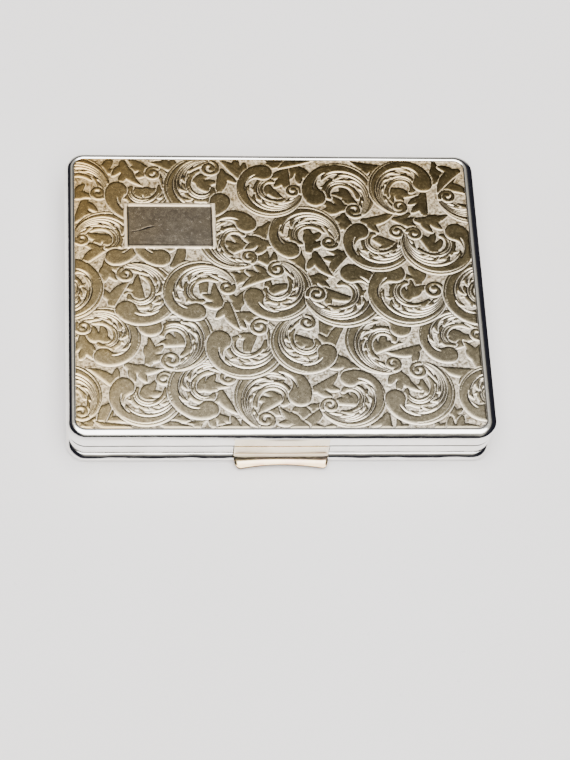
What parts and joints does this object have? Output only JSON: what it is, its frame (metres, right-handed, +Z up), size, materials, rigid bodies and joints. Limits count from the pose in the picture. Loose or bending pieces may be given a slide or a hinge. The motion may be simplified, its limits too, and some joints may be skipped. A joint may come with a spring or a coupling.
{
  "type": "business card case",
  "caption": "Slim hinged metal case for cards, with a scroll-engraved lid plate, a plain name field, a rounded rim and a flared thumb catch at the front.",
  "frame": {"origin": "centre of the flat underside of the base tray, under the centre of the lid's plan", "axes": "+X to the right along the hinge, +Y to the back where the hinge is, +Z up through the lid"},
  "size_m": [0.095, 0.0798, 0.0118],
  "materials": {
    "polished_silver": "polished silver plate, lightly worn",
    "engraved_silver": "engraved scrolls on a stippled ground, warm silver",
    "gilt": "satin gilt",
    "catch_gilt": "pale worn gilt",
    "steel": "drawn steel wire"
  },
  "bodies": {
    "base": {"base_shell": "polished_silver", "inner_frame_left": "gilt", "inner_frame_right": "gilt", "base_hinge_leaf": "gilt", "hinge_pin": "steel", "catch_bracket": "gilt", "catch_pin": "steel", "retainer_bracket_left": "gilt", "retainer_bracket_right": "gilt", "retainer_pin_left": "steel", "retainer_pin_right": "steel", "retainer_spring_left": "steel", "retainer_spring_right": "steel"},
    "lid": {"lid_frame": "polished_silver", "engraved_plate": "engraved_silver", "lid_liner": "gilt", "lid_hinge_leaf": "gilt", "keeper_plate": "catch_gilt", "keeper_strip": "gilt"},
    "catch": {"catch_plate": "catch_gilt", "catch_lever": "gilt", "catch_spring": "steel"},
    "retainer": {"retainer_bar": "gilt"}
  },
  "joints": [
    {"name": "lid_hinge", "type": "hinge", "parent": "base", "child": "lid", "pos_m": [0, 0.0383, 0.00676], "axis": [-1, 0, 0], "range_deg": [0, 165]},
    {"name": "catch_swing", "type": "hinge", "parent": "base", "child": "catch", "pos_m": [0, -0.0369, 0.0043], "axis": [-1, 0, 0], "range_deg": [0, 6], "stiffness_Nm_per_rad": 0.04, "springref_deg": -5.73},
    {"name": "retainer_swing", "type": "hinge", "parent": "base", "child": "retainer", "pos_m": [0, 0.03, 0.0034], "axis": [-1, 0, 0], "range_deg": [0, 41.25]}
  ],
  "couplings": [
    {"joint": "retainer_swing", "follows": "lid_hinge", "ratio": 0.25}
  ]
}
